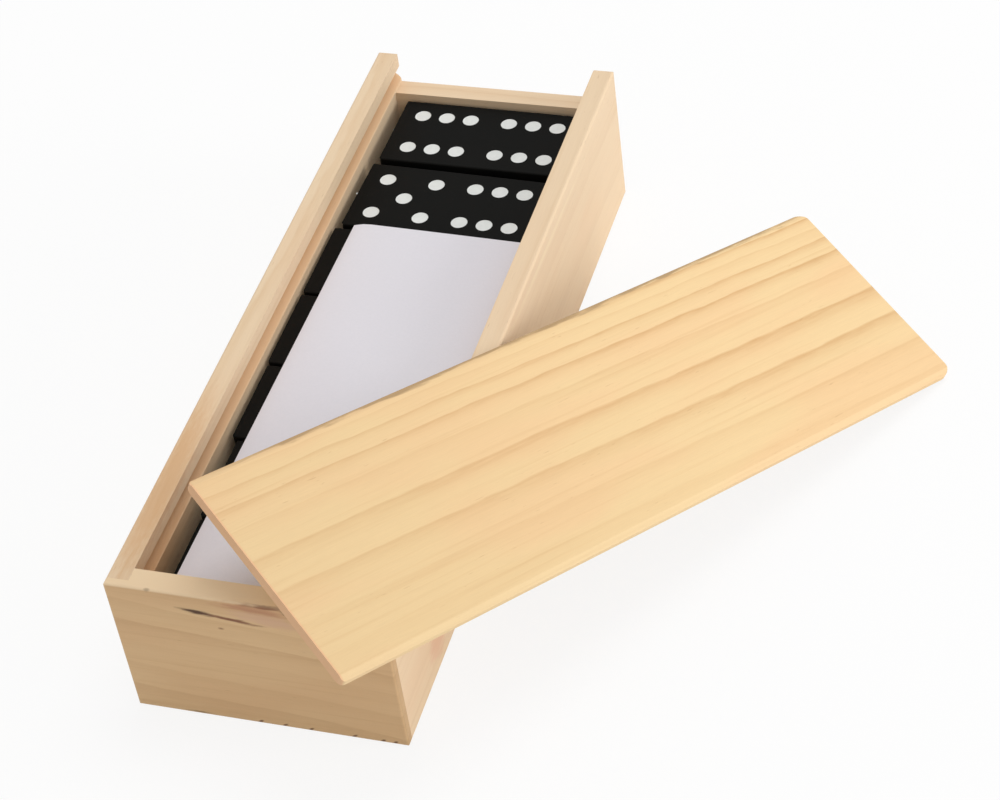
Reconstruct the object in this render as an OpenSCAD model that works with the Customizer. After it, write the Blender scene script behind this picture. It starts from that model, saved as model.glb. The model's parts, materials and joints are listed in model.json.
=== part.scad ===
// Domino storage box: a pine box with a sliding lid, 28 stones and a folded leaflet.
// The origin is the middle of the underside. The box's length runs along Y, and its mouth, where
// the lid slides out, is at +Y. The lid is off, and leans on the right wall.

/* [Stones] */
// Length of a domino stone
stone_l = 38; // [36:0.5:46]
// Width of a domino stone
stone_w = 19.2; // [17:0.1:24]
// Thickness of a domino stone
stone_t = 5; // [3.5:0.1:8]
// Radius of a stone's corners, seen from above
stone_corner = 0.8; // [0.3:0.1:2]
// Radius of the eased edges of a stone
stone_ease = 0.3; // [0.1:0.05:0.8]
// Diameter of a pip
pip_d = 3.3; // [2:0.1:3.8]
// Depth of a pip's recess
pip_depth = 0.2; // [0.1:0.05:0.5]
// Distance between neighbouring pips
pip_pitch = 5.1; // [4.5:0.1:5.6]
// Distance between the middles of the two halves' pips
half_pitch = 18.3; // [16.5:0.1:19]

/* [Packing] */
// Free width beside the stones in the box
side_play = 3.6; // [1:0.1:6]
// Gap between two rows of stones
row_gap = 0.7; // [0.3:0.1:3]
// Wider gap before the row at the mouth
loose_gap = 1.9; // [0.3:0.1:4]
// Gap between the row at the mouth and the mouth wall
mouth_gap = 0.7; // [0.2:0.1:2]
// Least gap between a stone and a long wall
stone_clear = 0.3; // [0.2:0.05:0.5]
// Part of the mouth gap that the double six takes up at its corner, because it lies askew
double_six_skew = 0.2; // [0:0.05:0.7]
// Part of the row gap that the five six and those under it take up, because they lie askew
five_six_skew = 0.7; // [0:0.05:0.7]

/* [Walls] */
// Thickness of the long walls
wall_t = 4.2; // [3:0.1:8]
// Thickness of the end wall
end_t = 4.4; // [3:0.1:8]
// Thickness of the end wall's front, where it covers the ends of the long walls
end_lap = 1.6; // [1:0.1:2.5]
// Thickness of the mouth wall
mouth_t = 4.4; // [3:0.1:8]
// How far the mouth wall stands back from the ends of the long walls
mouth_setback = 0.5; // [0:0.1:3]
// Thickness of the floor panel
floor_t = 3; // [2:0.1:6]
// Height of the mouth wall above the stones
headroom = 1.3; // [1:0.1:4]
// Radius of the eased outer edges
wall_ease = 0.5; // [0.2:0.05:0.8]
// Radius of the rounded corners at the long walls' ends
corner_ease = 1; // [0.4:0.1:2]

/* [Groove] */
// Height of the groove's lower edge above the mouth wall
groove_rise = 0.2; // [0.1:0.1:2]
// Height of the groove at the wall's face
groove_h = 3.6; // [3.2:0.1:6]
// Height of the groove at its bottom
groove_floor = 1.3; // [1:0.1:2]
// Depth of the groove in the wall
groove_d = 1.5; // [1:0.1:2.2]
// Height of the lip above the groove
lip_h = 2.9; // [1.5:0.1:5]

/* [Lid] */
// Gap between the lid's edges and the bottom of the grooves
lid_side_gap = 0.3; // [0.2:0.05:0.6]
// Play of the lid's thickness in the groove, above and below
lid_play = 0.8; // [0.3:0.05:1.1]
// Gap between the closed lid and the end wall
lid_end_gap = 0.3; // [0.2:0.1:1]
// How far the closed lid stands out past the mouth
lid_overhang = 0.4; // [0:0.1:2]
// Width of the bevels along the lid's long edges
bevel_w = 1.2; // [0.8:0.1:3]
// Radius of the lid's corners at the end that stands out of the mouth
lid_corner = 2.2; // [0.5:0.1:3]
// Radius of the lid's corners at the end that meets the end wall
lid_corner_inside = 0.8; // [0.3:0.1:3]
// Angle between the leaning lid's length and the box's width
lid_turn = 55.4; // [35:0.5:70]
// Distance from the right wall's edge down the slope to the lid's middle
lid_out = 20.9; // [10:0.1:30]
// Place of the lid's middle along the box
lid_along = -17.4; // [-25:0.1:-5]

/* [Leaflet] */
// Thickness of the folded leaflet
leaf_t = 0.8; // [0.4:0.1:1]
// Gap between the leaflet and the stones under it
leaf_lift = 0.2; // [0.1:0.05:0.3]
// Gap between the leaflet and the right wall
leaf_gap_right = 0.6; // [0.2:0.1:2]
// Gap between the leaflet and the left wall
leaf_gap_left = 3.5; // [1:0.1:8]
// Gap between the leaflet and the end wall
leaf_gap_end = 0.6; // [0.3:0.1:4]
// Gap between the leaflet and the first stone that it leaves bare
leaf_gap_stone = 0.2; // [0.2:0.1:2]

/* [Hidden] */
$fn = 48;
highest_half = 6;
rows = 7;
layers = 4;
bare_row = 5;
cut_margin = 1;
pine = [0.91, 0.79, 0.60];
lid_pine = [0.94, 0.81, 0.62];
end_pine = [0.76, 0.62, 0.45];
stone_black = [0.09, 0.09, 0.09];
paper_white = [0.87, 0.86, 0.89];

// The box is built outward from the stones that it holds.
inner_w = stone_l + side_play;
inner_l = rows * stone_w + (rows - 1) * row_gap + loose_gap + mouth_gap;
box_w = inner_w + 2 * wall_t;
box_l = inner_l + end_t + mouth_t + mouth_setback;
stones_top = floor_t + layers * stone_t;
mouth_h = stones_top + headroom;
groove_z = mouth_h + groove_rise;
box_h = groove_z + groove_h + lip_h;
box_start = -box_l / 2;
inner_start = box_start + end_t;
inner_end = inner_start + inner_l;

// The lid fits the grooves.
lid_t = groove_h - 2 * lid_play;
lid_tip = groove_floor - lid_side_gap;
lid_w = inner_w + 2 * (groove_d - lid_side_gap);
lid_l = box_l - end_t - lid_end_gap + lid_overhang;
bevel_h = (lid_t - lid_tip) / 2;

// How much a round corner takes off a board's length, at a distance in from the board's long edge
function corner_loss(radius, inset) =
    radius > inset ? radius - sqrt(radius * radius - (radius - inset) * (radius - inset)) : 0;

// The leaning lid's low corner stands on the table, so the slope follows from how far out it is.
low_corner =
    lid_out + (lid_l / 2 - corner_loss(lid_corner, bevel_w)) * cos(lid_turn)
    + (lid_w / 2 - bevel_w) * sin(lid_turn);
lid_tilt = asin(box_h / low_corner);

// Every stone of the set, from the double six down: [lower half, higher half].
STONES = [for (high = [highest_half:-1:0], low = [high:-1:0]) [low, high]];

// The top layer from the mouth on: the two bare stones, and then those under the leaflet, the
// ones with the fewest pips at its open left edge first. Below it the rest lie in their order.
BARE = [for (low = [highest_half, highest_half - 1]) [low, highest_half]];
COVERED = [for (low = [0:highest_half - 2]) [low, highest_half]];
UNDER = [for (s = STONES) if (s[1] < highest_half) s];
PACKED = concat(BARE, COVERED, UNDER);

function stone_name(s) = str("domino_", s[0], "_", s[1]);
function stone_row(i) = rows - 1 - i % rows;
function stone_layer(i) = layers - 1 - floor(i / rows);

// How far the stones of the top layer lie to the right, from the end wall on. -1 and 1 take up
// all the play. Those of the hidden layers vary by a rule.
TOP_SHARES = [0.6, 0.3, -0.6, -0.8, -0.8, -0.1, 0.55];
hidden_share = 0.8;
row_swing = 97;
layer_swing = 151;
function share(row, layer) =
    layer == layers - 1 ? TOP_SHARES[row]
    : hidden_share * sin(row_swing * row + layer_swing * layer);

// How far a corner of a stone that lies askew stands out of its row. The double six does, and so
// do the five six and the stones under it.
function skew(row, layer) =
    row == bare_row ? five_six_skew * row_gap
    : row == rows - 1 && layer == layers - 1 ? double_six_skew * mouth_gap
    : 0;
function stone_turn(row, layer) = -asin(skew(row, layer) / (stone_l / 2));
function stone_play(row, layer) =
    side_play / 2 - stone_clear - skew(row, layer) * stone_w / stone_l;
function stone_x(row, layer) = share(row, layer) * stone_play(row, layer);
function stone_y(row) =
    inner_start + (row + 0.5) * stone_w + min(row + 1, rows - 1) * row_gap
    + (row == rows - 1 ? loose_gap : 0);
function stone_z(layer) = floor_t + layer * stone_t;

// The near edge of the bare row's askew stone, at a place across the box.
function bare_edge(x) =
    stone_y(bare_row) - stone_w / 2 / cos(stone_turn(bare_row, layers - 1))
    + (x - stone_x(bare_row, layers - 1)) * tan(stone_turn(bare_row, layers - 1));

// Pips of one half, in steps of the pitch. The six has its rows of three along the stone.
MIDDLE = [[0, 0]];
DIAGONAL = [[-1, 1], [1, -1]];
CORNERS = [for (x = [-1, 1], y = [-1, 1]) [x, y]];
BETWEEN = [[0, -1], [0, 1]];
function pips(n) = concat(
    n % 2 == 1 ? MIDDLE : [],
    n == 2 || n == 3 ? DIAGONAL : [],
    n >= 4 ? CORNERS : [],
    n == 6 ? BETWEEN : []
);

// A bar that rounds the edge it is laid along, the Z axis, where a solid fills +X and +Y.
module edge_cut(length, radius) {
    translate([0, 0, -cut_margin])
        linear_extrude(length + 2 * cut_margin)
            difference() {
                translate([-cut_margin, -cut_margin])
                    square(radius + cut_margin);
                translate([radius, radius])
                    circle(radius);
            }
}

// A rectangle with round corners, centred.
module round_rect(w, l, radius) {
    square([w - 2 * radius, l], center = true);
    square([w, l - 2 * radius], center = true);
    for (x = [-1, 1], y = [-1, 1])
        translate([x * (w / 2 - radius), y * (l / 2 - radius)])
            circle(radius);
}

// Bottom board, let in between the walls and flush with their undersides.
module floor_panel() {
    color(pine)
        translate([-inner_w / 2, inner_start, 0])
            cube([inner_w, inner_l, floor_t]);
}

// Cross section of the left wall, its outer face at X 0, seen along the box.
module wall_section() {
    difference() {
        square([wall_t, box_h]);
        polygon([
            [wall_t + cut_margin, groove_z],
            [wall_t, groove_z],
            [wall_t - groove_d, groove_z + (groove_h - groove_floor) / 2],
            [wall_t - groove_d, groove_z + (groove_h + groove_floor) / 2],
            [wall_t, groove_z + groove_h],
            [wall_t + cut_margin, groove_z + groove_h]
        ]);
    }
}

// A long wall: its near end lies in the end wall's rabbet, and it runs on past the mouth wall.
module long_wall() {
    wall_l = box_l - end_lap;
    difference() {
        translate([0, wall_l, 0])
            rotate([90, 0, 0])
                linear_extrude(wall_l)
                    wall_section();
        // The top edge outside
        translate([0, 0, box_h])
            rotate([-90, 0, 0])
                edge_cut(wall_l, wall_ease);
        // The bottom edge outside
        rotate([-90, -90, 0])
            edge_cut(wall_l, wall_ease);
        // The upright edges at the mouth, outside and inside
        translate([0, wall_l, 0])
            rotate([0, 0, -90])
                edge_cut(box_h, corner_ease);
        translate([wall_t, wall_l, 0])
            rotate([0, 0, 180])
                edge_cut(box_h, corner_ease);
        // The top edge at the mouth
        translate([0, wall_l, box_h])
            rotate([0, 90, 0])
                rotate([0, 0, -90])
                    edge_cut(wall_t, corner_ease);
    }
}

module left_wall() {
    color(pine)
        translate([-box_w / 2, box_start + end_lap, 0])
            long_wall();
}

module right_wall() {
    color(pine)
        mirror([1, 0, 0])
            translate([-box_w / 2, box_start + end_lap, 0])
                long_wall();
}

// The eased edges of the end wall's left half.
module end_wall_easing() {
    translate([-box_w / 2, box_start, 0]) {
        edge_cut(box_h, wall_ease);
        // The top edges, at the side and in front
        translate([0, 0, box_h]) {
            rotate([-90, 0, 0])
                edge_cut(end_lap, wall_ease);
            rotate([0, 90, 0])
                edge_cut(box_w / 2, wall_ease);
        }
        // The bottom edges, at the side and in front
        rotate([-90, -90, 0])
            edge_cut(end_lap, wall_ease);
        translate([box_w / 2, 0, 0])
            rotate([0, -90, 0])
                edge_cut(box_w / 2, wall_ease);
    }
}

// The end board stops the closed lid. It fills the inner width, and its front covers the ends of
// the long walls.
module end_wall() {
    color(end_pine)
        difference() {
            union() {
                translate([-box_w / 2, box_start, 0])
                    cube([box_w, end_lap, box_h]);
                translate([-inner_w / 2, box_start, 0])
                    cube([inner_w, end_t, box_h]);
            }
            end_wall_easing();
            mirror([1, 0, 0])
                end_wall_easing();
        }
}

// The low board at the mouth, between the long walls.
module mouth_wall() {
    color(pine)
        translate([-inner_w / 2, inner_end, 0])
            difference() {
                cube([inner_w, mouth_t, mouth_h]);
                translate([0, mouth_t, mouth_h])
                    rotate([0, 90, 0])
                        rotate([0, 0, -90])
                            edge_cut(inner_w, wall_ease);
            }
}

// The lid board, flat on its underside at Z 0, its length along X and centred.
module lid_board() {
    difference() {
        rotate([90, 0, 90])
            translate([0, 0, -lid_l / 2])
                linear_extrude(lid_l)
                    polygon([
                        [-lid_w / 2 + bevel_w, 0],
                        [lid_w / 2 - bevel_w, 0],
                        [lid_w / 2, bevel_h],
                        [lid_w / 2, lid_t - bevel_h],
                        [lid_w / 2 - bevel_w, lid_t],
                        [-lid_w / 2 + bevel_w, lid_t],
                        [-lid_w / 2, lid_t - bevel_h],
                        [-lid_w / 2, bevel_h]
                    ]);
        for (side = [0, 1])
            mirror([0, side, 0]) {
                translate([-lid_l / 2, -lid_w / 2, 0])
                    edge_cut(lid_t, lid_corner_inside);
                translate([lid_l / 2, -lid_w / 2, 0])
                    rotate([0, 0, 90])
                        edge_cut(lid_t, lid_corner);
            }
    }
}

// The lid leans on the right wall's outer edge, with its low corner on the table.
module lid() {
    color(lid_pine)
        translate([box_w / 2, lid_along, box_h])
            rotate([0, lid_tilt, 0])
                translate([lid_out, 0, 0])
                    rotate([0, 0, lid_turn])
                        lid_board();
}

// The folded leaflet lies on the rows of stones from the end wall to the bare row, and its far
// edge follows the askew stone there.
module leaflet() {
    left = -inner_w / 2 + leaf_gap_left;
    right = inner_w / 2 - leaf_gap_right;
    near = inner_start + leaf_gap_end;
    color(paper_white)
        translate([0, 0, stones_top + leaf_lift])
            linear_extrude(leaf_t)
                polygon([
                    [left, near],
                    [right, near],
                    [right, bare_edge(right) - leaf_gap_stone],
                    [left, bare_edge(left) - leaf_gap_stone]
                ]);
}

// A stone with its edges eased all round, its underside at Z 0.
module blank_stone() {
    intersection() {
        linear_extrude(stone_t)
            round_rect(stone_l, stone_w, stone_corner);
        translate([-stone_l / 2, 0, stone_t / 2])
            rotate([90, 0, 90])
                linear_extrude(stone_l)
                    round_rect(stone_w, stone_t, stone_ease);
        translate([0, stone_w / 2, stone_t / 2])
            rotate([90, 0, 0])
                linear_extrude(stone_w)
                    round_rect(stone_l, stone_t, stone_ease);
    }
}

// Recesses for the pips of one half, centred on it.
module pip_recesses(n) {
    for (p = pips(n))
        translate([p[0] * pip_pitch, p[1] * pip_pitch, stone_t - pip_depth])
            cylinder(d = pip_d, h = pip_depth + cut_margin);
}

// Stone number i of the packing order, in its row and layer.
module domino(i) {
    row = stone_row(i);
    layer = stone_layer(i);
    color(stone_black)
        translate([stone_x(row, layer), stone_y(row), stone_z(layer)])
            rotate([0, 0, stone_turn(row, layer)])
                difference() {
                    blank_stone();
                    translate([-half_pitch / 2, 0, 0])
                        pip_recesses(PACKED[i][0]);
                    translate([half_pitch / 2, 0, 0])
                        pip_recesses(PACKED[i][1]);
                }
}

floor_panel();
left_wall();
right_wall();
end_wall();
mouth_wall();
lid();
leaflet();
for (i = [0:len(PACKED) - 1])
    domino(i);
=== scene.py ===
# %% [markdown]
# # A pine box of dominoes
# The box, its lid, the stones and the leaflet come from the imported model, which is the fixed frame
# of this scene. The lesson gives the boards their grain, fills the stones' recesses with paint and
# folds the leaflet from one sheet of paper. Everything is in metres, in the frame of the model:
# +Z is up, and the box's mouth is at +Y.

# %% The fixed frame
import json
import math
import random

import bmesh
import bpy
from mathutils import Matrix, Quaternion, Vector


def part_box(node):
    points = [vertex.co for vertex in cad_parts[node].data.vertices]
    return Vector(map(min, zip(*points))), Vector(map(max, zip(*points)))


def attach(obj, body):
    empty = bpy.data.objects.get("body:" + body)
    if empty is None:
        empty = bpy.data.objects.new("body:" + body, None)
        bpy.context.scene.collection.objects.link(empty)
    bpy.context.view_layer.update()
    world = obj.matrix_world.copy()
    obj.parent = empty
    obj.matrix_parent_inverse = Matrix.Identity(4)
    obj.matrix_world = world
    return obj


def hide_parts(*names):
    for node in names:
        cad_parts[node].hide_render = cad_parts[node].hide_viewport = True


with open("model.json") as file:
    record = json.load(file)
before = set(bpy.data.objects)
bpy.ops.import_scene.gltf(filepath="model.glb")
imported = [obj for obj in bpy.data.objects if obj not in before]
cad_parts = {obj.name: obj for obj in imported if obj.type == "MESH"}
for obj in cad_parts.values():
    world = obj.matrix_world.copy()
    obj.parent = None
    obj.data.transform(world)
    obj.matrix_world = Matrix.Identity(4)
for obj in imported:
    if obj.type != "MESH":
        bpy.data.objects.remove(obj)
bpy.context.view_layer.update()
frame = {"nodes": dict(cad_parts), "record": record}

MM = 0.001
STARTER_THINGS = ("Cube", "Light", "Camera")
for thing in STARTER_THINGS:
    if thing in bpy.data.objects:
        bpy.data.objects.remove(bpy.data.objects[thing])
NODES = frame["nodes"]
BODY_OF = {
    node: body
    for body, nodes in frame["record"]["behaviour"]["bodies"].items()
    for node in nodes
}
STONES = sorted(node for node in NODES if node.startswith("domino_"))

# %% [markdown]
# ## The camera
# A small thing on a table is photographed from about half a metre, with a long lens, so that its
# edges stay nearly parallel. The place, the point looked at and the lens come from matching the
# box's own edges, whose lengths are known. The picture leans a little, which is a turn about the
# line of sight. A camera could be aimed with a constraint, but a plain rotation is easier to read.

# %% The camera
CAMERA_PLACE = Vector((157.4, -337.35, 348.8)) * MM
CAMERA_TARGET = Vector((16.4, 9.75, 0.0)) * MM
CAMERA_LEAN = math.radians(-8.67)
LENS_MM = 95.87
SENSOR_MM = 36.0
NEAREST_SEEN = 0.01


def aim(thing, place, target, lean=0.0):
    """Puts a camera or lamp at a place, looking at the target, turned about its line of sight."""
    toward = (target - place).to_track_quat("-Z", "Y")
    thing.rotation_mode = "QUATERNION"
    thing.rotation_quaternion = toward @ Quaternion((0, 0, 1), lean)
    thing.location = place


camera = bpy.data.objects.new("camera", bpy.data.cameras.new("camera"))
camera.data.sensor_width = SENSOR_MM
camera.data.lens = LENS_MM
camera.data.clip_start = NEAREST_SEEN
aim(camera, CAMERA_PLACE, CAMERA_TARGET, CAMERA_LEAN)
bpy.context.scene.collection.objects.link(camera)
bpy.context.scene.camera = camera
print("the camera is", round((CAMERA_TARGET - CAMERA_PLACE).length, 3), "m from the table's middle")

# %% [markdown]
# ## Shader arithmetic
# A wood is mostly sums: how far a point is from the heart of the tree, which ring that is, how
# dark the ring is there. Wiring such sums by hand takes a screen full of nodes. Instead, a Wire
# holds a socket's output, and Python's own operators add the Math nodes. The reflected forms let a
# number come first, as in 1 - share.

# %% Wires
class Wire:
    """A node's output that can be added, multiplied and so on, like a number."""

    def __init__(self, recipe, socket):
        self.recipe = recipe
        self.socket = socket

    def reckon(self, operation, first, second):
        return self.recipe.add("ShaderNodeMath", {"operation": operation}, {0: first, 1: second})

    def __add__(self, other):
        return self.reckon("ADD", self, other)

    def __radd__(self, other):
        return self.reckon("ADD", other, self)

    def __sub__(self, other):
        return self.reckon("SUBTRACT", self, other)

    def __rsub__(self, other):
        return self.reckon("SUBTRACT", other, self)

    def __mul__(self, other):
        return self.reckon("MULTIPLY", self, other)

    def __rmul__(self, other):
        return self.reckon("MULTIPLY", other, self)

    def __truediv__(self, other):
        return self.reckon("DIVIDE", self, other)

    def __rtruediv__(self, other):
        return self.reckon("DIVIDE", other, self)

    def __pow__(self, other):
        return self.reckon("POWER", self, other)

    def __rpow__(self, other):
        return self.reckon("POWER", other, self)


print("a Wire can be added, subtracted, multiplied, divided and raised to a power")

# %% [markdown]
# ## Recipes
# A Recipe holds the nodes of one material, or of the world. It adds every node with one method,
# which takes the node's kind, its settings, and a value or a wire for each socket. The settings
# come first, because some of them change which sockets a node has.

# %% Recipes
class Recipe:
    """A material or a world, and the nodes that are added to it."""

    def __init__(self, owner):
        self.owner = owner
        owner.use_nodes = True
        self.tree = owner.node_tree
        self.tree.nodes.clear()

    def add(self, kind, settings=None, sockets=None, out=0):
        """Adds a node: first its settings, then its sockets' values or wires. Returns an output."""
        node = self.tree.nodes.new(kind)
        for key, value in (settings or {}).items():
            setattr(node, key, value)
        for key, value in (sockets or {}).items():
            if isinstance(value, Wire):
                self.tree.links.new(value.socket, node.inputs[key])
            else:
                node.inputs[key].default_value = value
        return Wire(self, node.outputs[out]) if len(node.outputs) else None

    def finish(self, shader, output="ShaderNodeOutputMaterial"):
        """Wires the shader to the output of the material or world, and returns that."""
        self.add(output, sockets={"Surface": shader})
        return self.owner


print("a Recipe takes a material or a world")

# %% [markdown]
# ## Words for what a surface does
# Every finish below needs the same few things: a colour written as it looks on a screen, a soft
# step between two values, a mix of two colours, and a shallow relief. Each is a short function.

# %% Helpers for finishes
MIX_FACTOR, MIX_FIRST, MIX_SECOND, MIX_RESULT = 0, 6, 7, 2
MID_GREY = (128, 128, 128)


def paint(red, green, blue):
    """A colour given as on a screen, from 0 to 255, as the linear one that shaders need (sRGB)."""
    def linear(value):
        share = value / 255
        return share / 12.92 if share <= 0.04045 else ((share + 0.055) / 1.055) ** 2.4
    return (linear(red), linear(green), linear(blue), 1.0)


def absolute(wire):
    return wire.recipe.add("ShaderNodeMath", {"operation": "ABSOLUTE"}, {0: wire})


def larger(first, second):
    return first.reckon("MAXIMUM", first, second)


def soft_step(wire, low, high):
    """0 below low, 1 above high and smooth between. low may be above high, for a falling step."""
    return wire.recipe.add(
        "ShaderNodeMapRange", {"interpolation_type": "SMOOTHSTEP"},
        {"Value": wire, "From Min": low, "From Max": high, "To Min": 0.0, "To Max": 1.0},
    )


def blend(recipe, share, first, second):
    """The first colour where share is 0, and the second where it is 1."""
    return recipe.add(
        "ShaderNodeMix", {"data_type": "RGBA"},
        {MIX_FACTOR: share, MIX_FIRST: first, MIX_SECOND: second}, MIX_RESULT,
    )


def dim(recipe, colour, amount):
    """A colour times a number."""
    return recipe.add("ShaderNodeVectorMath", {"operation": "SCALE"}, {0: colour, "Scale": amount})


def finish_surface(recipe, colour, roughness, height, depth, strength, gloss=0.5):
    """Closes a finish with its relief, whose depth is in millimetres, and its shader."""
    relief = recipe.add(
        "ShaderNodeBump", {}, {"Strength": strength, "Distance": depth * MM, "Height": height})
    return recipe.finish(recipe.add("ShaderNodeBsdfPrincipled", {}, {
        "Base Color": colour, "Roughness": roughness, "Normal": relief,
        "Specular IOR Level": gloss,
    }))


print("a mid grey of", MID_GREY[0], "is", round(paint(*MID_GREY)[0], 3), "in linear light")

# %% [markdown]
# ## Places and clouds
# No natural surface is even, and noise stands for that here. A point is first measured along three
# axes of the piece's own, in millimetres. The noise is then stretched, so that its lumps have the
# size that is asked for along each axis: fibres are long and thin, dust is round. A shift takes a
# cloud from another part of the noise, so that no two boards, and no two clouds on one board, have
# the same lumps.

# %% Places and clouds
NOISE_MEAN = 0.5


def coordinates(recipe, middle, axes):
    """A point's places along three axes, in millimetres from the middle."""
    place = recipe.add("ShaderNodeTexCoord", out="Object")
    offset = recipe.add("ShaderNodeVectorMath", {"operation": "SUBTRACT"}, {0: place, 1: middle})
    measure = {"operation": "DOT_PRODUCT"}
    return [
        recipe.add("ShaderNodeVectorMath", measure, {0: offset, 1: axis / MM}, "Value")
        for axis in axes
    ]


def cloud(recipe, places, sizes, detail=2.0, apart=0.0, shift=0.0):
    """Soft noise from 0 to 1, in lumps of these sizes in millimetres along the three axes.

    shift is the board's own, and apart is the difference between the clouds on one board."""
    parts = {
        key: place / size + (shift + apart) for key, place, size in zip("XYZ", places, sizes)}
    moved = recipe.add("ShaderNodeCombineXYZ", {}, parts)
    return recipe.add(
        "ShaderNodeTexNoise", {"noise_dimensions": "3D"},
        {"Vector": moved, "Scale": 1.0, "Detail": detail, "Roughness": 0.5}, "Fac",
    )


print("noise from 0 to 1 is", NOISE_MEAN, "on average")

# %% [markdown]
# ## How a board lies in the tree
# Pine's lines are the edges of growth rings, cut lengthwise. A picture of wood wrapped round a
# board goes wrong at its ends, so the rings are computed in space: each board knows which way its
# fibres run and where the heart of the tree lay beside it. Its long faces then show lines, and
# its ends show arcs, with no seam between them.
#
# The walls' fibres run along the walls. The lid leans, so its directions are read from its mesh:
# its largest face gives the slope, and the line where a bevel meets that face gives its length.

# %% Where each board lies
X, Y, Z = Vector((1, 0, 0)), Vector((0, 1, 0)), Vector((0, 0, 1))
PARALLEL = 0.99


class Board:
    """A board's middle and its directions: along the fibres, across the face and through it."""

    def __init__(self, node, along, across):
        low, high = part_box(node)
        self.middle = (low + high) / 2
        self.axes = (along, across, along.cross(across))


def lid_directions(mesh):
    """The lid's length and width. The length lies both in its top face and in a bevel's face."""
    by_area = sorted(mesh.polygons, key=lambda polygon: -polygon.area)
    top = next(face.normal for face in by_area if face.normal.z > 0)
    bevel = next(face.normal for face in by_area if abs(face.normal.dot(top)) < PARALLEL)
    along = top.cross(bevel).normalized()
    along = along if along.x > 0 else -along
    return along, top.cross(along)


DIRECTIONS = {
    "floor_panel": (Y, X), "left_wall": (Y, Z), "right_wall": (Y, Z),
    "end_wall": (X, Z), "mouth_wall": (X, Z), "lid": lid_directions(NODES["lid"].data),
}
BOARDS = {node: Board(node, *directions) for node, directions in DIRECTIONS.items()}
print("the lid's length points along", [round(part, 3) for part in DIRECTIONS["lid"][0]])

# %% [markdown]
# ## Growth rings
# Each year a tree adds a wide pale layer and then a thin dark one. The dark line is soft on the
# side towards the heart and sharp on the other. A line can be found in space: the distance from
# the heart, divided by a ring's width, gives the ring's number and how far into it a point is.
#
# Broad noise bends the rings and fine noise makes them ripple. A random number for each year says
# how dark its line is, and a tree that grew more slowly in its last years has its lines crowd
# together there. Small flecks break the lines up, as fibres that were cut across do.

# %% Growth rings
STRAIGHT = {
    "slant": 0.0, "slow_from": 1000.0, "slowing": 0.0, "phase": 0.0, "years": 0.0,
    "darker_along": 0.0,
}
BEND = {"sizes": (80.0, 30.0, 30.0), "detail": 1.0}
RIPPLE = {"sizes": (10.0, 1.8, 1.8)}
FLECK = {"sizes": (5.0, 0.5, 0.5), "apart": 2.0}
YEAR_TURNS = 0.92
FAINTEST_YEAR = 0.15
FLECK_SHARE, FLECK_LEAST = 1.1, 0.45


def growth_rings(recipe, places, tree):
    """How dark the late wood is at a point, from 0 to 1."""
    along, across, through = places
    heart_across, heart_through = tree["heart"]
    bend, ripple, fleck = (
        cloud(recipe, places, shift=tree["shift"], **lumps) for lumps in (BEND, RIPPLE, FLECK))
    sideways = across + along * tree["slant"] - heart_across + (bend - NOISE_MEAN) * tree["bend"]
    deep = through - heart_through
    distance = (sideways ** 2.0 + deep ** 2.0) ** 0.5 + (ripple - NOISE_MEAN) * tree["ripple"]
    slow_years = larger(distance - tree["slow_from"], 0.0) ** 2.0 * tree["slowing"]
    rings = distance / tree["ring"] + slow_years + tree["phase"]
    number = recipe.add("ShaderNodeMath", {"operation": "FLOOR"}, {0: rings})
    into = rings - number
    year = number + tree["years"]
    chance = recipe.add("ShaderNodeTexWhiteNoise", {"noise_dimensions": "1D"}, {"W": year}, "Value")
    late = into ** tree["fade"] * soft_step(into, 1.0, YEAR_TURNS)
    strength = chance * (1 - FAINTEST_YEAR) + FAINTEST_YEAR
    return late * strength * (fleck * FLECK_SHARE + FLECK_LEAST)


print("rings need", len(STRAIGHT), "more numbers where a tree didn't grow evenly")

# %% [markdown]
# ## Ducts and end grain
# Resin ducts show on a long face as short dark dashes, in some places and not in others. End grain
# is where the fibres are cut across, at a board's ends. It needs no drawing by hand: the shader
# knows which way a face points, and end grain points along the fibres.

# %% Ducts and end grain
DUCT = {"sizes": (2.6, 0.32, 0.32), "detail": 1.0, "apart": 7.0}
DUCT_AREA = {"sizes": (30.0, 9.0, 9.0), "detail": 0.0, "apart": 11.0}
DUCT_EDGE, DUCT_AREA_EDGE = (0.70, 0.80), (0.45, 0.62)
END_GRAIN_EDGE = (0.6, 0.9)


def ducts(recipe, places, shift):
    """Short dark dashes along the fibres, from 0 to 1."""
    dashes = cloud(recipe, places, shift=shift, **DUCT)
    areas = cloud(recipe, places, shift=shift, **DUCT_AREA)
    return soft_step(dashes, *DUCT_EDGE) * soft_step(areas, *DUCT_AREA_EDGE)


def end_grain(recipe, along):
    """1 on faces that cut across the fibres, and 0 on those that run with them."""
    facing = recipe.add("ShaderNodeTexCoord", out="Normal")
    share = recipe.add(
        "ShaderNodeVectorMath", {"operation": "DOT_PRODUCT"}, {0: facing, 1: along}, "Value")
    return soft_step(absolute(share), *END_GRAIN_EDGE)


print("a face is end grain from a cosine of", END_GRAIN_EDGE[0], "with the fibres")

# %% [markdown]
# ## Pine
# Clean pine is pale, and the rings are only its strongest pattern. Broad patches are a little
# pinker, long streaks a little darker, and fibres finer than a hair run all along the board. Resin
# ducts show as short dashes. Where fibres are cut across, at a board's ends, it looks darker.
#
# The same values feed the roughness and a very shallow bump, since the hard late wood stands a
# little proud after sanding.

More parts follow.
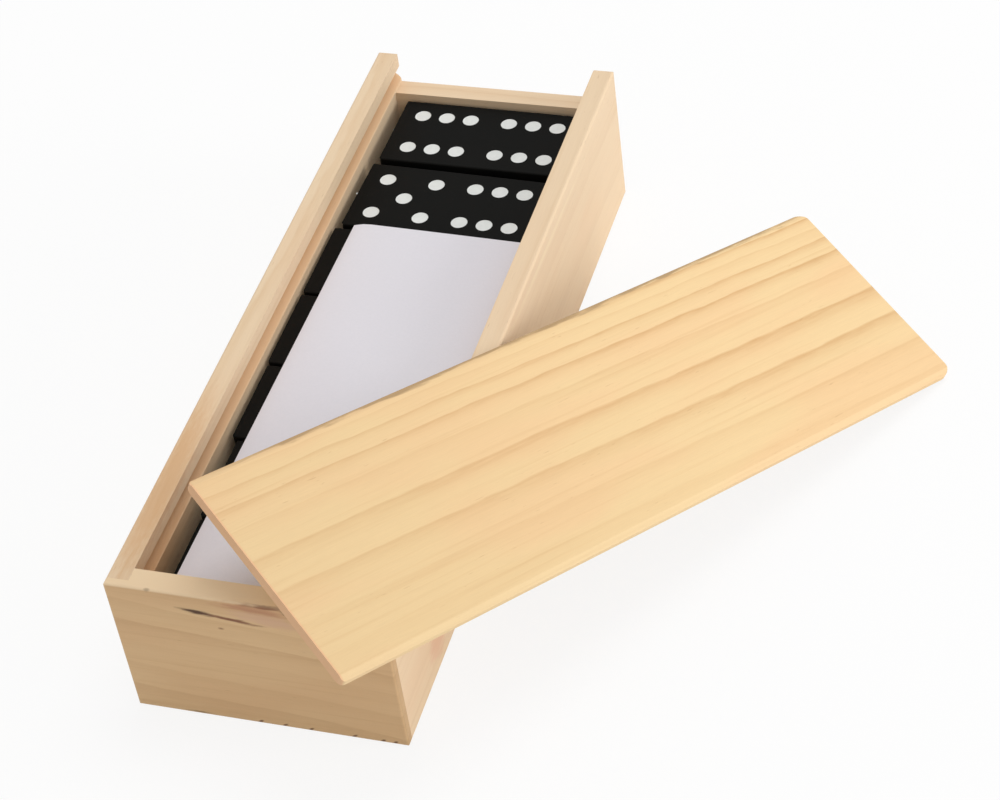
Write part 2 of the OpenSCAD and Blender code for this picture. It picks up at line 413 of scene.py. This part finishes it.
# %% Pine
FIBRE = {"sizes": (4.0, 0.14, 0.14), "detail": 3.0}
STREAK = {"sizes": (60.0, 1.1, 1.1), "apart": 5.0}
PATCH = {"sizes": (38.0, 13.0, 13.0), "apart": 9.0}
STREAK_EDGE, PATCH_EDGE = (0.5, 0.8), (0.4, 0.65)
DUCT_SHARE = 0.25
FIBRE_TONE = 0.1
END_GRAIN_DARKER = 0.14
SANDED, LATE_SMOOTHER, FIBRE_ROUGHER = 0.62, 0.10, 0.12
LATE_PROUD = 0.5


def pine(name, board, tree, marks=()):
    """A pine board's finish. Each mark adds its own colour to the board's."""
    recipe = Recipe(bpy.data.materials.new(name))
    tree = STRAIGHT | tree
    shift = tree["shift"]
    places = coordinates(recipe, board.middle, board.axes)
    late = growth_rings(recipe, places, tree)
    fibre, streak, patch = (
        cloud(recipe, places, shift=shift, **lumps) for lumps in (FIBRE, STREAK, PATCH))
    blush = soft_step(patch, *PATCH_EDGE) * tree["blush_share"]
    colour = blend(recipe, blush, tree["early"], tree["blush"])
    colour = blend(recipe, soft_step(streak, *STREAK_EDGE) * tree["streaks"], colour, tree["late"])
    contrast = places[0] * tree["darker_along"] + tree["contrast"]
    colour = blend(recipe, late * contrast, colour, tree["late"])
    colour = blend(recipe, ducts(recipe, places, shift) * DUCT_SHARE, colour, tree["duct"])
    colour = dim(recipe, colour, fibre * FIBRE_TONE + (1 - FIBRE_TONE / 2))
    colour = dim(recipe, colour, 1.0 - end_grain(recipe, board.axes[0]) * END_GRAIN_DARKER)
    for mark in marks:
        colour = mark(recipe, places, colour)
    roughness = SANDED - late * LATE_SMOOTHER + (fibre - NOISE_MEAN) * FIBRE_ROUGHER
    height = late * LATE_PROUD + fibre
    return finish_surface(recipe, colour, roughness, height, depth=0.05, strength=0.6, gloss=0.3)


def wear(node, material):
    """Gives a node's object one material."""
    slots = NODES[node].data.materials
    slots.clear()
    slots.append(material)


print("pine is ready for", len(BOARDS), "boards")

# %% [markdown]
# ## Marks on a board
# A bark pocket, a chip or a tint is a soft blot in the board's own millimetres, with noise added
# to its outline so that it doesn't look drawn. It is an ellipsoid and not an ellipse, because a
# mark on the front of a board shouldn't run right through to its back. The pine function lays the
# marks over the grain.

# %% Marks
OUTLINE = {"sizes": (2.4, 0.5, 0.5), "detail": 3.0}
BLOT_EDGE = (1.0, 0.25)


def blot(recipe, places, middle, size, turn=0.0, wobble=0.3):
    """1 in the middle of a soft ellipsoid and 0 outside it. It is turned on the board's face."""
    along, across, through = (place - start for place, start in zip(places, middle))
    cosine, sine = math.cos(math.radians(turn)), math.sin(math.radians(turn))
    first = (along * cosine + across * sine) / size[0]
    second = (across * cosine - along * sine) / size[1]
    third = through / size[2]
    rough = (cloud(recipe, places, **OUTLINE) - NOISE_MEAN) * 2.0
    reach = (first ** 2.0 + second ** 2.0 + third ** 2.0) ** 0.5 + rough * wobble
    return soft_step(reach, *BLOT_EDGE)


def stain(middle, size, colour, strength, **shape):
    """A mark for the pine function: a blot of one colour. shape is its turn and its wobble."""
    def lay(recipe, places, below):
        return blend(recipe, blot(recipe, places, middle, size, **shape) * strength, below, colour)
    return lay


print("marks are ready")

# %% [markdown]
# ## The walls' boards
# The long walls, the mouth wall and the floor are cut from the same pale pine. The grooves' faces
# are painted a little darker and more orange, as painted shade in the grooves. The left wall is
# browner near the end wall on its top edge, and its inside there is painted browner, as painted
# shadow of the lid. The right wall is palest at the middle of its outside and in a band under its
# top edge, and has a rosy patch low down near the end.

# %% The walls
PALE_PINE = {
    "early": paint(238, 212, 178), "blush": paint(236, 205, 170), "late": paint(212, 172, 124),
    "duct": paint(160, 118, 80), "blush_share": 0.6, "contrast": 0.35, "streaks": 0.22,
    "fade": 3.0, "ripple": 0.6,
}
WALL_TREES = {
    "floor_panel": {"heart": (6.0, -40.0), "ring": 1.6, "bend": 3.0, "shift": 61.0},
    "left_wall": {"heart": (-30.0, 14.0), "ring": 2.4, "bend": 4.0, "shift": 17.0},
    "right_wall": {
        "heart": (26.0, -52.0), "ring": 3.2, "bend": 6.0, "shift": 29.0, "contrast": 0.22},
    "mouth_wall": {"heart": (-18.0, 26.0), "ring": 2.0, "bend": 3.0, "shift": 43.0},
}
WALL_FACE = 2.1
GROOVE_LOW, GROOVE_HIGH, GROOVE_SOFT = 8.8, 12.8, 0.5
PAST_OUTSIDE = (-1.8, -1.4)
# Painted shade in the grooves: their faces are darker and more orange.
GROOVE_SHADE_PAINT, GROOVE_SHADE_SHARE = paint(214, 166, 116), 0.6


def painted_groove_shade(inward):
    """A mark of painted shade: the groove's faces are darker and more orange. inward is the sign of
    the board's third axis.
    """
    def lay(recipe, places, below):
        _, across, through = places
        above_low = soft_step(across, GROOVE_LOW, GROOVE_LOW + GROOVE_SOFT)
        below_high = soft_step(across, GROOVE_HIGH, GROOVE_HIGH - GROOVE_SOFT)
        inside = soft_step(through * inward, *PAST_OUTSIDE)
        return blend(recipe, above_low * below_high * inside * GROOVE_SHADE_SHARE, below, GROOVE_SHADE_PAINT)
    return lay


BROWNER_TOP = stain((-52.0, 15.5, 0.0), (30.0, 2.5, 4.0), paint(214, 160, 104), 0.55, wobble=0.3)
# Painted shadow of the lid on the left wall's inside, near the end wall.
PAINTED_LID_SHADOW_INSIDE = stain(
    (-72.0, 4.0, WALL_FACE), (34.0, 14.0, 1.5), paint(196, 146, 96), 0.5, wobble=0.2)
PALER_MIDDLE = stain(
    (-4.0, -2.0, WALL_FACE), (30.0, 9.0, 1.5), paint(248, 226, 194), 0.6, wobble=0.4)
ROSY_PATCH = stain(
    (-57.5, -9.5, WALL_FACE), (5.5, 4.5, 1.5), paint(226, 170, 140), 0.5, turn=-25.0, wobble=0.5)
PALE_BAND = stain(
    (22.0, 12.6, WALL_FACE), (34.0, 0.9, 1.0), paint(248, 226, 190), 0.5, turn=-1.0, wobble=0.4)
WALL_MARKS = {
    "left_wall": [painted_groove_shade(1.0), BROWNER_TOP, PAINTED_LID_SHADOW_INSIDE],
    "right_wall": [painted_groove_shade(-1.0), PALER_MIDDLE, ROSY_PATCH, PALE_BAND],
}
for node, tree in WALL_TREES.items():
    wear(node, pine("pine_" + node, BOARDS[node], PALE_PINE | tree, WALL_MARKS.get(node, ())))
print("pine on", ", ".join(WALL_TREES))

# %% [markdown]
# ## The end wall's board
# The board at the near end is painted darker and more tan than the other boards, as painted shade
# of its front, which faces neither lamp. It has broad pale bands. Its top edge is painted paler, as
# painted light from above. Just under that edge it has a bark pocket: a thin brown crack, with the
# wood beside it stained red up to the edge. A saw left dark ticks along the bottom edge, and there
# are two specks on top by the corner.

# %% The end wall
# Painted shade: these colours are darker and more tan than the other boards', for the shaded front.
END_TREE_IN_PAINTED_SHADE = {
    "early": paint(225, 190, 144), "blush": paint(219, 180, 135), "late": paint(193, 151, 106),
    "duct": paint(140, 98, 64), "blush_share": 0.6, "contrast": 0.5, "streaks": 0.25,
    "heart": (-44.0, -30.0), "ring": 4.2, "bend": 5.0, "shift": 7.0, "slant": 0.1,
    "fade": 1.6, "ripple": 0.8,
}
FRONT = 2.2
TOP_EDGE, BOTTOM_EDGE = 15.3, -14.9
# Painted light: the top edge is painted paler than the front.
PAINTED_TOP_LIGHT, PAINTED_TOP_LIGHT_SHARE = paint(250, 224, 186), 0.8
BARK = paint(74, 46, 30)
RED_BARK = paint(122, 72, 50)
RED_STAIN = paint(176, 116, 88)
ROSY = paint(214, 172, 146)
TICK_BROWN = paint(104, 62, 42)
TICK_WIDTH, TICK_DEPTH, TICK_TURN = 0.35, 1.2, 32.0
TICKS = [(-2.0, 0.8), (2.5, 0.9), (7.3, 0.8), (15.2, 0.9), (20.4, 0.7), (22.6, 0.7)]


def painted_light_top(recipe, places, below):
    """A mark of painted light: the top edge is painted paler than the front, as if lit from above.
    """
    share = soft_step(places[1], TOP_EDGE - 0.2, TOP_EDGE + 0.15) * PAINTED_TOP_LIGHT_SHARE
    return blend(recipe, share, below, PAINTED_TOP_LIGHT)


END_MARKS = [
    painted_light_top,
    stain((4.0, 12.2, FRONT), (9.0, 2.0, 1.5), ROSY, 0.55, turn=-6.0, wobble=0.4),
    stain((2.0, 14.4, FRONT), (9.5, 1.3, 1.5), RED_STAIN, 0.6, turn=-2.0, wobble=0.4),
    stain((4.6, TOP_EDGE, FRONT), (6.0, 0.45, 0.8), RED_BARK, 0.7, turn=1.0, wobble=0.4),
    stain((8.4, 14.0, FRONT), (2.4, 0.8, 1.0), BARK, 0.75, turn=-35.0, wobble=0.4),
    stain((-8.3, 11.8, FRONT), (4.4, 0.75, 1.0), BARK, 0.95, turn=-5.0, wobble=0.5),
    stain((-2.2, 11.1, FRONT), (6.6, 0.6, 1.0), RED_BARK, 0.9, turn=-7.0, wobble=0.5),
    stain((-4.9, 8.5, FRONT), (0.8, 0.4, 0.8), RED_BARK, 0.6, wobble=0.4),
    stain((-13.2, BOTTOM_EDGE, FRONT), (3.6, 0.4, 1.0), BARK, 0.5, wobble=0.5),
    stain((-21.3, TOP_EDGE, -0.7), (0.7, 0.8, 0.5), BARK, 0.8, wobble=0.2),
    stain((-17.0, TOP_EDGE, 1.9), (0.8, 0.8, 0.4), BARK, 0.4, wobble=0.2),
]
for place, length in TICKS:
    size = (length, TICK_WIDTH, TICK_DEPTH)
    END_MARKS.append(stain((place, BOTTOM_EDGE, FRONT), size, TICK_BROWN, 0.9, turn=TICK_TURN))
wear("end_wall", pine("pine_end_wall", BOARDS["end_wall"], END_TREE_IN_PAINTED_SHADE, END_MARKS))
print(len(END_MARKS), "marks on the end wall")

# %% [markdown]
# ## The lid's board
# The lid is the best piece of wood on the box: straw yellow, with wide years in its near half that
# crowd together towards the far edge. The lines are darkest towards the mouth's end, and the wood
# itself towards the other. The far bevel is darker in patches, most at its rim: partly the saw's
# rough surface, partly painted shade, as that bevel faces away from the lamps. The near bevel is
# painted a little paler, as painted light. The cut end is a little pinker than the face.

# %% The lid
LID_TREE = {
    "early": paint(244, 212, 160), "blush": paint(245, 206, 156), "late": paint(205, 150, 90),
    "duct": paint(180, 130, 84), "blush_share": 0.7, "contrast": 0.62, "streaks": 0.16,
    "heart": (-90.0, -20.0), "ring": 6.63, "bend": 1.6, "shift": 3.0, "slant": 0.018,
    "slow_from": 97.3, "slowing": 0.008, "phase": 0.66, "years": 969.0, "darker_along": 0.003,
    "fade": 3.6, "ripple": 0.9,
}
BEVEL_STARTS, RIM = 20.8, 22.0
LID_END = -72.6
SAW_MARKS = {"sizes": (7.0, 1.2, 1.2), "detail": 4.0, "apart": 21.0}
SAW_MARKS_EDGE, SAW_MARKS_BEGIN = (0.52, 0.85), (-72.0, -52.0)
# Partly painted shade: the far bevel faces away from the lamps.
SAWN_AND_SHADE, SAWN_AND_SHADE_SHARE, SHADED_RIM = paint(176, 144, 104), 0.85, 0.4
# Painted light on the near bevel.
PAINTED_BEVEL_LIGHT, PAINTED_BEVEL_LIGHT_SHARE = paint(255, 230, 184), 0.2
ROSY_END, ROSY_END_SHARE = paint(236, 184, 142), 0.7
DARKENS, DARKENS_BY = (40.0, -80.0), 0.09


def sawn_and_shaded_bevel(recipe, places, below):
    """A mark, partly painted shade: the far bevel is darker in patches, most at its rim, but not at
    its near end.
    """
    along, across, _ = places
    rim = soft_step(across, BEVEL_STARTS - 0.2, RIM)
    patches = soft_step(cloud(recipe, places, **SAW_MARKS) + rim * SHADED_RIM, *SAW_MARKS_EDGE)
    on_bevel = soft_step(across, BEVEL_STARTS - 0.4, BEVEL_STARTS)
    share = patches * on_bevel * soft_step(along, *SAW_MARKS_BEGIN) * SAWN_AND_SHADE_SHARE
    return blend(recipe, share, below, SAWN_AND_SHADE)


def rosy_end(recipe, places, below):
    """A mark: the cut end towards the end wall is pinker."""
    share = soft_step(places[0], LID_END + 0.3, LID_END) * ROSY_END_SHARE
    return blend(recipe, share, below, ROSY_END)


def painted_light_bevel(recipe, places, below):
    """A mark of painted light: the bevel along the near edge is painted a little paler than the
    face.
    """
    on_bevel = soft_step(places[1], 0.1 - BEVEL_STARTS, -0.2 - BEVEL_STARTS)
    return blend(recipe, on_bevel * PAINTED_BEVEL_LIGHT_SHARE, below, PAINTED_BEVEL_LIGHT)


def darker_end(recipe, places, below):
    """A mark: the wood darkens towards the end wall's end."""
    return dim(recipe, below, 1.0 - soft_step(places[0], *DARKENS) * DARKENS_BY)


LID_MARKS = [darker_end, sawn_and_shaded_bevel, painted_light_bevel, rosy_end]
wear("lid", pine("pine_lid", BOARDS["lid"], LID_TREE, LID_MARKS))
print("the lid's bevels start", BEVEL_STARTS, "mm from its middle")

# %% [markdown]
# ## The stones
# The stones are cut from wood and dipped in black paint. It is nearly matt: it gives back hardly
# any of the light around it, and lets the wood's fibres show as a faint relief. A plain black
# would look like a hole in the picture, so it varies a little and holds a trace of dust.

# %% Black paint
PAINTED_FIBRE = {"sizes": (5.0, 0.22, 0.22), "detail": 3.0}
MOTTLE = {"sizes": (7.0, 5.0, 5.0), "detail": 3.0, "apart": 4.0}
DUST = {"sizes": (0.35, 0.35, 0.35), "apart": 8.0}
DUST_EDGE, DUST_SHARE, DUST_COLOUR = (0.72, 0.8), 0.08, paint(150, 146, 140)
BLACK, WORN_BLACK = paint(15, 16, 15), paint(22, 21, 19)
SATIN, MOTTLE_ROUGHER, DUST_ROUGHER = 0.5, 0.16, 0.2
ORIGIN = Vector((0, 0, 0))


def black_paint(name):
    """The stones' paint, measured from the model's origin, so that no two stones are the same."""
    recipe = Recipe(bpy.data.materials.new(name))
    places = coordinates(recipe, ORIGIN, (X, Y, Z))
    fibre = cloud(recipe, places, **PAINTED_FIBRE)
    mottle = cloud(recipe, places, **MOTTLE)
    dust = soft_step(cloud(recipe, places, **DUST), *DUST_EDGE)
    colour = blend(recipe, mottle, BLACK, WORN_BLACK)
    colour = blend(recipe, dust * DUST_SHARE, colour, DUST_COLOUR)
    roughness = SATIN + (mottle - NOISE_MEAN) * MOTTLE_ROUGHER + dust * DUST_ROUGHER
    height = fibre + mottle
    return finish_surface(recipe, colour, roughness, height, depth=0.02, strength=0.5, gloss=0.06)


BLACK_PAINT = black_paint("black_paint")
for stone in STONES:
    wear(stone, BLACK_PAINT)
print("black paint on", len(STONES), "stones")

# %% [markdown]
# ## Finding the recesses
# Each pip is a shallow drilled recess with a drop of white paint in it. The recesses could be
# listed again here, but their mesh already says where they are: they are the flat round spots a
# fifth of a millimetre below a stone's face. The points at that level are gathered into groups
# that hang together, and each small group is one recess.

# %% Recess floors
PIP_DEPTH = 0.2 * MM
PIP_LARGEST = 2.5 * MM
LEVEL_PLAY = 0.02 * MM
SAME_POINT = 0.001 * MM


def recess_floors(mesh, top):
    """The middle and radius of each flat round spot at the recesses' depth."""
    work = bmesh.new()
    work.from_mesh(mesh)
    level = top - PIP_DEPTH
    away = [vertex for vertex in work.verts if abs(vertex.co.z - level) > LEVEL_PLAY]
    bmesh.ops.delete(work, geom=away, context="VERTS")
    bmesh.ops.remove_doubles(work, verts=work.verts, dist=SAME_POINT)
    waiting, floors = set(work.verts), []
    while waiting:
        group, edge_of_group = set(), [waiting.pop()]
        while edge_of_group:
            vertex = edge_of_group.pop()
            group.add(vertex)
            near = {edge.other_vert(vertex) for edge in vertex.link_edges} & waiting
            waiting -= near
            edge_of_group.extend(near)
        xs, ys = [v.co.x for v in group], [v.co.y for v in group]
        radius = (max(xs) - min(xs)) / 2
        if radius < PIP_LARGEST:
            floors.append(((min(xs) + max(xs)) / 2, (min(ys) + max(ys)) / 2, radius))
    work.free()
    return sorted(floors)


FLOORS = {stone: recess_floors(NODES[stone].data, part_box(stone)[1].z) for stone in STONES}
print(sum(len(floors) for floors in FLOORS.values()), "recesses in", len(STONES), "stones")

# %% [markdown]
# ## Drops of paint
# A flat white disc would do for a pip from far away, but paint in a recess dries dished: it climbs
# the wall a little and sinks in the middle. A drop is turned for each recess from a short profile,
# which gives its radius, as a share of the recess, and its height from the stone's face.

# %% Drops of paint
PIP_SIDES = 40
DROP_PROFILE = [(0.99, -0.055), (0.93, -0.085), (0.78, -0.105), (0.45, -0.115)]
DROP_MIDDLE = -0.118
DROP_UNDERSIDE = -0.19


def add_drop(work, middle_x, middle_y, top, radius):
    """One closed drop of paint: the profile's rings, a middle point above and a flat below."""
    def ring(share, height):
        return [
            work.verts.new((
                middle_x + radius * share * math.cos(2 * math.pi * side / PIP_SIDES),
                middle_y + radius * share * math.sin(2 * math.pi * side / PIP_SIDES),
                top + height * MM,
            ))
            for side in range(PIP_SIDES)
        ]
    rings = [ring(DROP_PROFILE[0][0], DROP_UNDERSIDE)] + [ring(*step) for step in DROP_PROFILE]
    peak = work.verts.new((middle_x, middle_y, top + DROP_MIDDLE * MM))
    for side in range(PIP_SIDES):
        after = (side + 1) % PIP_SIDES
        for low, high in zip(rings, rings[1:]):
            work.faces.new((low[side], low[after], high[after], high[side]))
        work.faces.new((rings[-1][side], rings[-1][after], peak))
    work.faces.new(list(reversed(rings[0])))


def new_piece(name, work, material, smooth_angle=30.0):
    """Turns a bmesh into a shown object with one material, smooth except at sharp edges."""
    bmesh.ops.recalc_face_normals(work, faces=work.faces)
    mesh = bpy.data.meshes.new(name)
    work.to_mesh(mesh)
    work.free()
    mesh.materials.append(material)
    mesh.shade_smooth()
    mesh.set_sharp_from_angle(angle=math.radians(smooth_angle))
    piece = bpy.data.objects.new(name, mesh)
    bpy.context.scene.collection.objects.link(piece)
    return piece


print("a drop has", len(DROP_PROFILE) + 1, "rings of", PIP_SIDES, "sides")

# %% [markdown]
# ## Paint in the recesses
# Paint that dries as a drop is a little uneven in tone and height. All drops of one stone are one
# piece, which rides with the stone and takes its finish from a slot of its own.

# %% Paint in the recesses
UNEVEN = {"sizes": (0.9, 0.9, 0.9), "detail": 3.0}
PIP_WHITE, PIP_WHITEST = paint(222, 225, 222), paint(238, 240, 237)
PIP_SATIN, UNEVEN_ROUGHER = 0.5, 0.12


def pip_paint(name):
    """White paint, a little uneven in tone and height."""
    recipe = Recipe(bpy.data.materials.new(name))
    uneven = cloud(recipe, coordinates(recipe, ORIGIN, (X, Y, Z)), **UNEVEN)
    colour = blend(recipe, uneven, PIP_WHITE, PIP_WHITEST)
    roughness = PIP_SATIN + uneven * UNEVEN_ROUGHER
    return finish_surface(recipe, colour, roughness, uneven, depth=0.03, strength=0.4)


PIP_PAINT = pip_paint("pip_paint")
drops = 0
for stone, floors in FLOORS.items():
    if not floors:
        continue
    work = bmesh.new()
    for middle_x, middle_y, radius in floors:
        add_drop(work, middle_x, middle_y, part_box(stone)[1].z, radius)
    piece = new_piece(stone.replace("domino", "pips"), work, PIP_PAINT, smooth_angle=60.0)
    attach(piece, BODY_OF[stone])
    drops += len(floors)
print(drops, "drops of paint")

# %% [markdown]
# ## The leaflet's folds
# The leaflet is one long sheet folded to and fro into six plies. A plain block would show square
# solid edges. Here the sheet's middle line is drawn first, back and forth, with a small half
# circle at each fold. No fold lies exactly on the one below.

# %% The sheet's line
PLIES = 6
PAPER = 0.1
PLY_RISE = 0.122
PLY_STEPS = 22
FOLD_STEPS = 6
FOLD_PLAY = (0.1, 0.45)
TOP_PLY_LEFT, TOP_PLY_RIGHT = 0.1, 0.12
rng = random.Random(5)


def sheet_line(width):
    """Points (x, z, ply) of the sheet's middle line in millimetres, from the bottom ply up."""
    points = []
    ends = [(rng.uniform(*FOLD_PLAY), width - rng.uniform(*FOLD_PLAY)) for _ in range(PLIES)]
    ends[-1] = (TOP_PLY_LEFT, width - TOP_PLY_RIGHT)
    fold = PLY_RISE / 2
    for ply, (left, right) in enumerate(ends):
        level = PAPER / 2 + ply * PLY_RISE
        start, stop = (left, right) if ply % 2 else (right, left)
        for step in range(PLY_STEPS + 1):
            share = step / PLY_STEPS
            points.append((start + (stop - start) * share, level, ply))
        if ply + 1 < PLIES:
            outward = 1 if stop > start else -1
            for step in range(1, FOLD_STEPS):
                turn = math.pi * step / FOLD_STEPS
                points.append((stop + outward * fold * math.sin(turn),
                               level + fold - fold * math.cos(turn), ply + step / FOLD_STEPS))
            next_left, next_right = ends[ply + 1]
            ends[ply + 1] = (next_left, stop) if outward > 0 else (stop, next_right)
    return points


print(PLIES, "plies stand", round((PLIES - 1) * PLY_RISE + PAPER, 2), "mm high")

# %% [markdown]
# ## The folded sheet
# The line is given the paper's thickness on both sides and run along the box. The far edge follows
# the stone that lies askew beside it, and the top plies spring up in a slow wave. The folded edge
# isn't quite parallel to the wall, and the far corner beside it is clipped.

# %% The folded sheet
LENGTH_STEPS = 56
START_PLAY, END_PLAY = (0.0, 0.5), (0.0, 0.35)
TOP_PLY_CUTS = (0.1, 0.0)
EDGE_SKEW = 1.0
FOLD_TAPER = 0.9
CLIP_WIDTH, CLIP_DEPTH = 2.6, 0.9
SPRING = 0.06
WAVE_LEAST, WAVE_HEIGHT, WAVE_TURN, WAVE_START = 0.6, 0.4, 9.0, 1.0


def fold_leaflet(low, high, material):
    """The folded sheet as one closed mesh inside the box from low to high."""
    width, length = (high.x - low.x) / MM, (high.y - low.y) / MM
    line = sheet_line(width)
    cuts = {ply: (rng.uniform(*START_PLAY), rng.uniform(*END_PLAY)) for ply in range(PLIES)}
    cuts[PLIES - 1] = TOP_PLY_CUTS

    def place(x, z, ply, share):
        start_cut, end_cut = cuts[int(round(ply))]
        inward = min(max(x / width, 0), 1)
        clip = CLIP_DEPTH * max(1 - x / CLIP_WIDTH, 0)
        y = start_cut + (length - end_cut - EDGE_SKEW * inward - clip - start_cut) * share
        x += FOLD_TAPER * share * (1 - x / width)
        inward = min(max(x / width, 0), 1)
        wave = WAVE_LEAST + WAVE_HEIGHT * math.sin(WAVE_TURN * share + WAVE_START)
        z += SPRING * math.sin(math.pi * inward) * wave * ply / (PLIES - 1)
        return low + Vector((x, y, z)) * MM

    work = bmesh.new()
    rows = []
    for step in range(LENGTH_STEPS + 1):
        share = step / LENGTH_STEPS
        sides = []
        for index, (x, z, ply) in enumerate(line):
            before, after = line[max(index - 1, 0)], line[min(index + 1, len(line) - 1)]
            run, rise = after[0] - before[0], after[1] - before[1]
            size = math.hypot(run, rise)
            out_x, out_z = -rise / size * PAPER / 2, run / size * PAPER / 2
            sides.append((
                work.verts.new(place(x + out_x, z + out_z, ply, share)),
                work.verts.new(place(x - out_x, z - out_z, ply, share)),
            ))
        rows.append(sides)
    last = len(line) - 1
    for near, far in zip(rows, rows[1:]):
        for index in range(last):
            for side in (0, 1):
                work.faces.new((near[index][side], near[index + 1][side],
                                far[index + 1][side], far[index][side]))
        for index in (0, last):
            work.faces.new((near[index][0], far[index][0], far[index][1], near[index][1]))
    for sides in (rows[0], rows[-1]):
        for this, following in zip(sides, sides[1:]):
            work.faces.new((this[0], this[1], following[1], following[0]))
    return new_piece("leaflet_sheet", work, material, smooth_angle=40.0)


print("the sheet is laid in", LENGTH_STEPS, "steps along the box")

# %% [markdown]
# ## The paper
# Thin leaflet paper is a cool white. Its pulp is too fine to see, but it makes the surface matt and
# its tone a little uneven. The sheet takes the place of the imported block, and rides on its body.

# %% The leaflet
PULP = {"sizes": (0.5, 0.5, 0.5), "detail": 4.0}
TONE = {"sizes": (26.0, 40.0, 26.0), "detail": 1.0, "apart": 2.0}
PAPER_WHITE, PAPER_WHITEST = paint(226, 222, 228), paint(232, 230, 236)
PULP_TONE = 0.05
MATT, PULP_ROUGHER = 0.78, 0.1


def plain_paper(name):
    """Plain white paper, measured from the leaflet's middle."""
    recipe = Recipe(bpy.data.materials.new(name))
    low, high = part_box("leaflet")
    places = coordinates(recipe, (low + high) / 2, (X, Y, Z))
    pulp, tone = (cloud(recipe, places, **lumps) for lumps in (PULP, TONE))
    colour = blend(recipe, tone, PAPER_WHITE, PAPER_WHITEST)
    colour = dim(recipe, colour, pulp * PULP_TONE + (1 - PULP_TONE / 2))
    roughness = MATT + pulp * PULP_ROUGHER
    return finish_surface(recipe, colour, roughness, pulp, depth=0.03, strength=0.35, gloss=0.3)


leaflet = fold_leaflet(*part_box("leaflet"), plain_paper("plain_paper"))
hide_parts("leaflet")
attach(leaflet, BODY_OF["leaflet"])
print("the sheet has", len(leaflet.data.vertices), "points")

# %% [markdown]
# ## The table
# The box stands on a white sweep, so the picture's background is white and the box's own shadow is
# almost all that shows of the table. The camera sees the table mostly as plain white, through Light
# Path, so that no strong lamp is needed to make it white.

# %% The table
TABLE_HALF = 4.0
WHITE_SHARE = 0.85
TABLE_TONE = (0.95, 0.95, 0.95, 1.0)
WHITE = (1.0, 1.0, 1.0, 1.0)


def seen_rays(recipe):
    """1 for rays from the camera, or seen in gloss or through glass, and 0 for light on things."""
    camera_ray, glossy, through = (
        recipe.add("ShaderNodeLightPath", out=key)
        for key in ("Is Camera Ray", "Is Glossy Ray", "Is Transmission Ray"))
    return larger(larger(camera_ray, glossy), through)


def table_white():
    """A white that is lit and shaded a little, and is plain white for the most part."""
    recipe = Recipe(bpy.data.materials.new("table_white"))
    lit = recipe.add("ShaderNodeBsdfDiffuse", {}, {"Color": TABLE_TONE})
    plain = recipe.add("ShaderNodeEmission", {}, {"Color": WHITE, "Strength": 1.0})
    share = seen_rays(recipe) * WHITE_SHARE
    return recipe.finish(recipe.add("ShaderNodeMixShader", {}, {0: share, 1: lit, 2: plain}))


def make_table():
    """A wide flat sheet under the box, which isn't part of it."""
    work = bmesh.new()
    bmesh.ops.create_grid(work, x_segments=1, y_segments=1, size=TABLE_HALF)
    new_piece("table", work, table_white())


make_table()
print("the table is", 2 * TABLE_HALF, "m wide")

# %% [markdown]
# ## The light
# A large soft lamp hangs over the far end, so that the lid's shadow falls towards the near end, and
# a low one on the right lights the outer wall. An even sky does the rest. The near end faces
# neither lamp, and stays in shade. Both lamps are weak, so that the pale wood doesn't turn white.

# %% The light
SKY = 0.62
LAMPS = {
    "over_lamp": {"place": (0.22, 0.44, 1.21), "size": 0.8, "watts": 4.7},
    "side_lamp": {"place": (1.24, 0.13, 0.39), "size": 0.6, "watts": 5.0},
}


def make_sky():
    """An even sky: plain white to the camera, and dimmer as a light."""
    recipe = Recipe(bpy.data.worlds.new("sky"))
    strength = recipe.add("ShaderNodeLightPath", out="Is Camera Ray") * (1.0 - SKY) + SKY
    sky = recipe.add("ShaderNodeBackground", {}, {"Color": WHITE, "Strength": strength})
    bpy.context.scene.world = recipe.finish(sky, "ShaderNodeOutputWorld")


def make_lamp(name, place, size, watts):
    """A round soft lamp that points at the box."""
    data = bpy.data.lights.new(name, "AREA")
    data.shape = "DISK"
    data.size = size
    data.energy = watts
    lamp = bpy.data.objects.new(name, data)
    aim(lamp, Vector(place), ORIGIN)
    bpy.context.scene.collection.objects.link(lamp)


make_sky()
for name, lamp in LAMPS.items():
    make_lamp(name, **lamp)
bpy.context.scene.view_settings.view_transform = "Standard"
print(len(LAMPS), "lamps, and a sky of", SKY)
